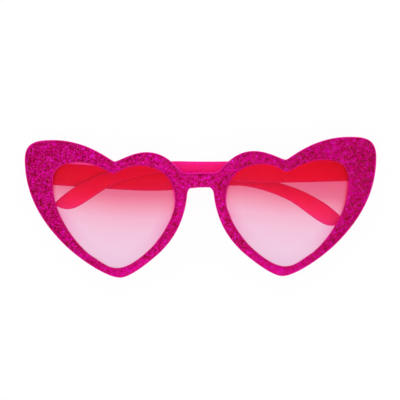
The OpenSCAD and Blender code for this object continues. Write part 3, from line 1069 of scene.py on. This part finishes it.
@dataclass
class FrontMoulding:
    """The moulded front with its hinge blocks and nose pads."""

    shape: FrontShape
    hinge: HingeShape
    arm: ArmShape
    resting: Resting
    edge_round: float = 0.5
    edge_steps: int = 5
    back_round: float = 0.6
    back_steps: int = 4
    opening_round: float = 0.4
    opening_steps: int = 3
    block_round: float = 1.2
    block_steps: int = 5
    block_bevel: float = 0.15
    bevel_steps: int = 3
    block_root_share: float = 1 / 3
    pad_r: float = 9.5
    pad_t: float = 2.4
    pad_reach: float = 4.4
    pad_flare: float = 18.0
    pad_heading: float = 109.5
    pad_rise_share: float = -0.05
    pad_out_share: float = 1 / 6
    pad_set_in: float = 0.35
    pad_root: float = 1.0
    fillet: float = 0.25
    fillet_h: float = 1.0
    pad_rings: int = 18
    pad_points: int = 48
    pad_crowding: float = 1.5
    pinch_rate: float = 3.0
    pinch_power: float = 0.7
    pieces: list[bpy.types.Object] = field(default_factory=list)

    def front_edge(self) -> Profile:
        """The round at the front's face, as distances in and heights."""
        return rounding_up(self.shape.front_t, self.edge_round, self.edge_steps)

    def edge_profile(self) -> Profile:
        """The outer edge from the back to the front, as distances in and heights."""
        return rounding(self.back_round, self.back_steps) + self.front_edge()

    def opening_profile(self) -> Profile:
        """Draws the edge of a lens opening with its groove.

        Returns:
            Pairs of a distance into the rim and a height, from the back to the front.
        """
        deep = self.shape.groove_depth
        low = self.shape.lens_back - self.shape.lens_fit
        high = self.shape.lens_back + self.shape.lens_t + self.shape.lens_fit
        groove = [(0, low), (deep, low), (deep, high), (0, high)]
        return rounding(self.opening_round, self.opening_steps) + groove + self.front_edge()

    def frame(self, finishes: Finishes) -> bpy.types.Object:
        """Builds the rims, the bridge and the wings as one shell.

        Args:
            finishes: The pair's finishes.

        Returns:
            The shell, whose openings have a finish of their own.
        """
        mould, shape = Moulding(), self.shape
        walls = shape.walls(mould, self.edge_profile(), self.opening_profile())
        mould.skirt(walls[0])
        outer_faces = len(mould.faces)
        for rings in walls[1:]:
            mould.skirt(rings)
        mould.second_faces = list(range(outer_faces, len(mould.faces)))
        mould.cap([rings[0] for rings in walls], shape.face(0))
        mould.cap([rings[-1] for rings in walls], shape.face(shape.front_t))
        return mould.build("front_moulding", self.resting.front, finishes.front, finishes.opening)

    def at_pin(self, points: np.ndarray) -> np.ndarray:
        """Points moved from about the right pin to the front's own frame, with z as it is."""
        return points + [self.hinge.pin_x, self.hinge.hinge_rise, 0]

    def block_ring(self, inset: float, z: float) -> np.ndarray:
        """The round outline of a hinge block, drawn in, at a height.

        Args:
            inset: How far it is drawn in.
            z: The height.

        Returns:
            The ring's points in the front's own frame.
        """
        hinge, radius = self.hinge, self.block_round - inset
        right = self.arm.arm_root_t + hinge.pin_off - hinge.land_rise
        left = -hinge.front_leaf_reach - hinge.leaf_edge
        half_h = self.arm.arm_h / 2 - hinge.leaf_edge
        corners = ((right, half_h), (left, half_h), (left, -half_h), (right, -half_h))
        points = []
        for quarter, (x, y) in enumerate(corners):
            middle_x = x - math.copysign(self.block_round, x)
            middle_y = y - math.copysign(self.block_round, y)
            for step in range(self.block_steps + 1):
                turn = math.pi / 2 * (quarter + step / self.block_steps)
                points.append([middle_x + radius * math.cos(turn), middle_y + radius * math.sin(turn), z])
        return self.at_pin(np.array(points))

    def block(self, side: Side, material: bpy.types.Material) -> bpy.types.Object:
        """Builds the block that carries a hinge, with the pocket that its leaf is inlaid in.

        Args:
            side: The block's side.
            material: Its finish.

        Returns:
            The block.
        """
        mould, hinge = Moulding(), self.hinge
        inner_x = hinge.pin_x - hinge.front_leaf_reach - hinge.leaf_edge
        base_z = self.block_root_share * self.shape.front_t - self.shape.drop(inner_x)
        bevel = rounding(self.block_bevel, self.bevel_steps)
        levels = [(inset, hinge.land_z + down) for inset, down in bevel] + [(0, base_z)]
        rings = [mould.ring(self.block_ring(inset, z)) for inset, z in levels]
        mould.skirt(rings)
        mould.cap([rings[-1]], level(base_z), POCKET_GRID)
        corners = hinge.pocket(-hinge.front_leaf_reach, hinge.knuckle_r, hinge.height)
        lean = self.arm.lean(side) * side.value
        turned = corners @ np.array([[math.cos(lean), -math.sin(lean)], [math.sin(lean), math.cos(lean)]])
        depths = (hinge.land_z, hinge.land_z + hinge.leaf_t + hinge.inlay_fit)
        pocket = [mould.ring(self.at_pin(np.column_stack([turned, np.full(4, z)]))) for z in depths]
        mould.skirt(pocket)
        mould.cap([rings[0], pocket[0]], level(depths[0]), POCKET_GRID)
        mould.cap([pocket[1]], level(depths[1]), POCKET_GRID)
        return mould.build(f"hinge_block_{side.label}", self.resting.front @ side.mirror, material)

    def pad_ring(self, height: float, centre_z: float) -> np.ndarray:
        """One ring of a nose pad, which spreads in a fillet where it meets the rim.

        Args:
            height: The ring's height above the middle of the pad's coin.
            centre_z: The height of that middle above the front's back.

        Returns:
            The ring's points about the pad's foot.
        """
        half_t = self.pad_t / 2
        flat_r = self.pad_r - half_t
        thick = half_t if -height < flat_r else math.sqrt(half_t**2 - (-height - flat_r) ** 2)
        climbed = (height + centre_z + self.fillet_h) / self.fillet_h
        spread = self.fillet * min(1.0, max(0.0, climbed)) ** 2
        points = []
        for turn in np.linspace(0, 2 * math.pi, self.pad_points, endpoint=False):
            across = thick * math.sin(turn)
            radius = flat_r + math.sqrt(max(half_t**2 - across**2, 0))
            along = math.copysign(math.sqrt(max(radius**2 - height**2, 0)), math.cos(turn))
            along *= min(1.0, abs(math.cos(turn)) * self.pinch_rate) ** self.pinch_power
            points.append([
                across + spread * math.sin(turn), along + spread * math.cos(turn), height + centre_z])
        return np.array(points)

    def pad(self, side: Side, material: bpy.types.Material) -> bpy.types.Object:
        """Builds a nose pad: a coin with a round edge that flares into the rim that it grows from.

        Args:
            side: The pad's side.
            material: Its finish.

        Returns:
            The pad.
        """
        mould = Moulding()
        centre_z = self.pad_r - self.pad_reach
        tall = self.pad_root - centre_z + self.pad_r
        shares = [step / self.pad_rings for step in range(1, self.pad_rings + 1)]
        rings = [mould.ring(self.pad_ring(-self.pad_r + tall * share**self.pad_crowding, centre_z))
                 for share in shares]
        mould.skirt(rings)
        mould.faces += [rings[0][::-1], rings[-1]]
        x, y = self.shape.on_lens(-1, self.pad_rise_share)
        x += self.pad_set_in - self.pad_out_share * self.shape.nose_rim_w
        place = self.resting.front @ side.mirror @ Matrix.Translation((x, y, 0))
        turn = Matrix.Rotation(math.radians(self.pad_heading - 90), 4, "Z")
        flare = Matrix.Rotation(math.radians(-self.pad_flare), 4, "Y")
        return mould.build(f"nose_pad_{side.label}", place @ turn @ flare, material)

    def dress(self, finishes: Finishes) -> None:
        """Builds every piece of the front and puts it in place of the solid.

        Args:
            finishes: The pair's finishes.
        """
        self.pieces = [self.frame(finishes)]
        for side in Side:
            self.pieces += [self.block(side, finishes.bare), self.pad(side, finishes.bare)]
        for piece in self.pieces:
            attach(piece, "front")
        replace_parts(self.pieces[0], "front_frame")


@dataclass
class GlitterLayer:
    """The lacquered glitter on the front's face."""

    shape: FrontShape
    resting: Resting
    glitter_t: float = 0.35
    bare_edge: float = 0.5
    shoulder: float = 0.3
    shoulder_steps: int = 3
    top_grid: float = 1.5

    def dress(self, finishes: Finishes) -> bpy.types.Object:
        """Builds the layer with a soft shoulder along every edge.

        Args:
            finishes: The pair's finishes.

        Returns:
            The layer, in place of its solid.
        """
        mould, shape = Moulding(), self.shape
        top = shape.front_t + self.glitter_t
        levels = [(0, shape.front_t)] + rounding_up(top, self.shoulder, self.shoulder_steps)
        edge = [(self.bare_edge + inset, height) for inset, height in levels]
        walls = shape.walls(mould, edge, edge)
        for rings in walls:
            mould.skirt(rings)
        mould.cap([rings[0] for rings in walls], shape.face(shape.front_t))
        mould.cap([rings[-1] for rings in walls], shape.face(top), self.top_grid)
        piece = mould.build("glitter_layer", self.resting.front, finishes.glitter)
        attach(piece, "front")
        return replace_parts(piece, "glitter_face")


@dataclass
class Lens:
    """A curved lens with its edge in the groove of the rim."""

    shape: FrontShape
    resting: Resting
    side: Side
    bevel: float = 0.15
    rim_shadow_w: float = LensFinish.rim_shadow_span[1]
    grid: float = 2.5

    def dress(self, finishes: Finishes) -> bpy.types.Object:
        """Builds the lens, with a ring of points where the painted shadow along its edge ends.

        Args:
            finishes: The pair's finishes.

        Returns:
            The lens, in place of its solid.
        """
        mould, shape = Moulding(), self.shape
        back = shape.lens_back
        face = back + shape.lens_t
        reach = shape.groove_depth - shape.lens_fit
        edge = [(-self.rim_shadow_w, back), (reach - self.bevel, back), (reach, back + self.bevel),
                (reach, face - self.bevel), (reach - self.bevel, face), (-self.rim_shadow_w, face)]
        rings = shape.heart_wall(mould, self.side, edge)
        mould.skirt(rings)
        mould.cap([rings[0]], shape.face(back), self.grid)
        mould.cap([rings[-1]], shape.face(face), self.grid)
        mould.rim = shape.heart(self.side, 0)
        name = f"lens_{self.side.label}"
        piece = mould.build(f"rose_{name}", self.resting.front, finishes.lenses[self.side])
        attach(piece, "front")
        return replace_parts(piece, name)


@dataclass
class Temple:
    """An arm with rounded edges and the pocket that its hinge leaf is inlaid in."""

    arm: ArmShape
    resting: Resting
    side: Side
    round_steps: int = 6

    def dress(self, finishes: Finishes) -> bpy.types.Object:
        """Builds the arm.

        Args:
            finishes: The pair's finishes.

        Returns:
            The arm, in place of its solid.
        """
        mould, arm, hinge = Moulding(), self.arm, self.arm.hinge
        edge = rounding(arm.arm_round, self.round_steps)
        rings = [mould.ring(arm.ring(inset, down, False)) for inset, down in edge]
        rings += [mould.ring(arm.ring(inset, down, True)) for inset, down in reversed(edge)]
        mould.skirt(rings)
        mould.cap([rings[0]], level(arm.outer_z))
        corners = hinge.pocket(-hinge.temple_leaf_reach, 0, hinge.height - hinge.knuckle_h)
        floor_z = -hinge.pin_off - hinge.leaf_t - hinge.inlay_fit
        mouth = mould.ring(np.column_stack([corners, arm.inner_face(corners)]))
        floor = mould.ring(np.column_stack([corners, np.full(4, floor_z)]))
        mould.skirt([mouth, floor])
        mould.cap([floor], level(floor_z), POCKET_GRID)
        mould.cap([rings[-1], mouth], arm.inner_face)
        mould.rim = arm.ring(0, 0, False)[:, :2]
        name = f"temple_{self.side.label}"
        piece = mould.build(f"{name}_arm", self.resting.arms[self.side], finishes.arm)
        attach(piece, f"{self.side.label}_arm")
        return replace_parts(piece, name)


@dataclass
class HingeHardware:
    """The steel hinge leaves and screws, which keep the solids' own shapes."""

    steel_nodes: tuple[str, ...] = ("front_hinge", "temple_hinge")

    def dress(self, finishes: Finishes) -> None:
        """Gives each solid its steel.

        Args:
            finishes: The pair's finishes.
        """
        for side in Side:
            for name in self.steel_nodes:
                self.coat(f"{name}_{side.label}", finishes.hinge)
            self.coat(f"hinge_screw_{side.label}", finishes.screw)

    @staticmethod
    def coat(node: str, material: bpy.types.Material) -> None:
        """Puts a material on a solid.

        Args:
            node: The solid's node.
            material: The material.
        """
        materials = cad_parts[node].data.materials
        materials.clear()
        materials.append(material)


@dataclass
class Studio:
    """A white table under soft lamps, and a long lens that looks straight down.

    Places and sizes are in metres, apart from the width of a picture element, the focus and the drop
    of the table, which are in millimetres. Light and heights in the room are shares.
    """

    frame_px: int = 400
    middle_px: tuple[float, float] = (201.1, 207.6)
    px_size: float = 0.4262
    roll: float = -0.6
    distance: float = 1.2
    focus_z: float = 16.0
    sensor: float = 36.0
    clip: Span = (0.05, 10)
    floor_r: float = 2.5
    floor_drop: float = 0.02
    floor_sides: int = 96
    floor_share: float = 0.05
    floor_marks: float = 0.02
    floor_whites: tuple[Colour, Colour] = (paint(250, 250, 250), paint(246, 246, 246))
    room_light: float = 0.9
    ceiling_light: float = 0.1
    ceiling_span: Span = (0.35, 0.75)
    lamps: tuple[tuple[str, tuple[float, float, float], float, float], ...] = (
        ("key_below", (0.0, -0.26, 0.9), 0.42, 2.2), ("key_above", (0.0, 0.3, 0.9), 0.42, 0.75),
        ("fill_left", (-0.55, 0.65, 0.8), 0.6, 1.1), ("fill_right", (0.55, 0.65, 0.8), 0.6, 1.1))

    def camera(self) -> None:
        """Puts the camera over the pair, so that one picture element is as wide as in the photograph."""
        data = bpy.data.cameras.new("camera")
        data.sensor_width = self.sensor
        data.lens = self.sensor * self.distance / (self.frame_px * self.px_size * MM)
        data.clip_start, data.clip_end = self.clip
        camera = add_object("camera", data)
        turn = Matrix.Rotation(math.radians(self.roll), 4, "Z")
        half = self.frame_px / 2
        aim = Vector((half - self.middle_px[0], self.middle_px[1] - half, 0)) * self.px_size * MM
        above = Vector((0, 0, self.distance + self.focus_z * MM))
        camera.matrix_world = Matrix.Translation(turn @ aim + above) @ turn
        bpy.context.scene.camera = camera

    def floor(self) -> None:
        """Lays a white table top that shows light and keeps a faint shadow."""
        graph = MaterialGraph("white_table")
        marks = graph.noise(graph.places(), self.floor_marks)
        diffuse = graph.add("BsdfDiffuse", {"Color": graph.mixed(marks, *self.floor_whites)})
        clear = graph.add("BsdfTransparent", {})
        material = graph.finish(graph.add("MixShader", {
            0: self.floor_share, 1: clear.outputs[0], 2: diffuse.outputs[0]}))
        work = bmesh.new()
        bmesh.ops.create_circle(work, cap_ends=True, segments=self.floor_sides, radius=self.floor_r)
        mesh = bpy.data.meshes.new("table")
        work.to_mesh(mesh)
        work.free()
        mesh.materials.append(material)
        table = add_object("table", mesh)
        table.location.z = -self.floor_drop * MM

    def world(self) -> None:
        """A white room with a darker ceiling over the camera, which itself sees nothing but white."""
        world = bpy.data.worlds.new("studio")
        bpy.context.scene.world = world
        world.use_nodes = True
        graph = Graph(world.node_tree)
        rays = graph.add("LightPath", {}).outputs
        first = graph.sum("LESS_THAN", rays["Diffuse Depth"], 0.5)
        through = graph.sum("MULTIPLY", rays["Is Transmission Ray"], first)
        seen = graph.sum("MAXIMUM", rays["Is Camera Ray"], through)
        height = graph.add("SeparateXYZ", {0: graph.add("TexCoord", {}).outputs["Generated"]}).outputs["Z"]
        ceiling = graph.span(first, 0, 1, self.room_light, self.ceiling_light)
        light = graph.span(
            height, *self.ceiling_span, self.room_light, ceiling, interpolation_type="SMOOTHSTEP")
        strength = graph.span(seen, 0, 1, light, 1)
        back = graph.add("Background", {"Color": (1, 1, 1, 1), "Strength": strength})
        graph.add("OutputWorld", {0: back.outputs[0]})

    def lamp(self, name: str, place: tuple[float, float, float], size: float, power: float) -> None:
        """Hangs a square soft box that faces the pair.

        Args:
            name: The lamp's name.
            place: Where it hangs.
            size: Its width.
            power: Its power in watts.
        """
        data = bpy.data.lights.new(name, "AREA")
        data.size = size
        data.energy = power
        lamp = add_object(name, data)
        lamp.location = place
        lamp.rotation_euler = Vector(place).to_track_quat("Z", "Y").to_euler()

    def build(self) -> None:
        """Sets up the whole studio."""
        bpy.context.scene.view_settings.view_transform = "Standard"
        self.camera()
        self.floor()
        self.world()
        for lamp in self.lamps:
            self.lamp(*lamp)


def build_finishes(shape: FrontShape, resting: Resting) -> Finishes:
    """Makes every finish.

    Args:
        shape: The front, whose lens height the tint follows.
        resting: Gives the lens's place in the row.

    Returns:
        The finishes.
    """
    half_h = shape.lens_h / 2
    low, high = ((resting.front @ Vector((shape.lens_x, y, 0))).y / MM for y in (-half_h, half_h))
    tints = (
        (0.0, paint(241, 206, 229)), (0.16, paint(246, 208, 230)), (0.35, paint(248, 201, 225)),
        (0.48, paint(250, 187, 212)), (0.57, paint(248, 164, 190)), (0.63, paint(245, 143, 172)),
        (0.69, paint(240, 120, 152)), (0.75, paint(236, 109, 143)), (0.82, paint(238, 99, 135)),
        (0.88, paint(238, 80, 130)), (1.0, paint(236, 64, 116)))
    lenses = {side: LensFinish(f"rose_{side.label}", low, high, side.value * shape.lens_x, bow, tints)
              for side, bow in ((Side.LEFT, 0.003), (Side.RIGHT, 0.0))}
    glitter = GlitterFinish("pink_glitter")
    front = DustedFinish("pink_plastic", paint(222, 2, 148), glitter)
    opening = DustedFinish("opening_plastic", paint(206, 8, 116), glitter, reach=(0.05, 0.5), cover=1.0)
    # the light and deep colours of both plastics are a painted shade from top to foot
    bare = PlasticFinish("bare_plastic", paint(230, 8, 128), paint(232, 8, 130), shine=0.15, clarity=0.5)
    # the arm's edge colour is a painted light along its rim
    arm = PlasticFinish(
        "arm_plastic", paint(238, 8, 124), paint(232, 8, 138), shine=0.12, fade=(10.5, 14.0), clarity=0.9,
        edge=paint(226, 16, 150))
    hinge = SteelFinish("hinge_steel", paint(205, 206, 210), paint(158, 158, 164))
    screw = SteelFinish(
        "screw_steel", paint(214, 214, 216), paint(150, 150, 156), rough=Swell(3.0, 0.16, 0.32, 3))
    return Finishes(
        front=front.build(), glitter=glitter.build(), opening=opening.build(), bare=bare.build(),
        lenses={side: lens.build() for side, lens in lenses.items()}, arm=arm.build(),
        hinge=hinge.build(), screw=screw.build())


def main() -> None:
    """Builds the pair, its finishes and its studio."""
    logging.basicConfig(level=logging.INFO, format="%(name)s: %(message)s")
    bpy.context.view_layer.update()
    shape = FrontShape()
    hinge = HingeShape(shape)
    arm = ArmShape(hinge)
    resting = Resting(arm)
    finishes = build_finishes(shape, resting)

    front = FrontMoulding(shape, hinge, arm, resting)
    front.dress(finishes)
    log.info("front moulding: %d pieces", len(front.pieces))
    layer = GlitterLayer(shape, resting).dress(finishes)
    log.info("glitter layer: %d faces", len(layer.data.polygons))
    for side in Side:
        for part in (Lens(shape, resting, side), Temple(arm, resting, side)):
            piece = part.dress(finishes)
            log.info("%s: %d faces", piece.name, len(piece.data.polygons))
    HingeHardware().dress(finishes)
    Studio().build()


if __name__ == "__main__":
    main()
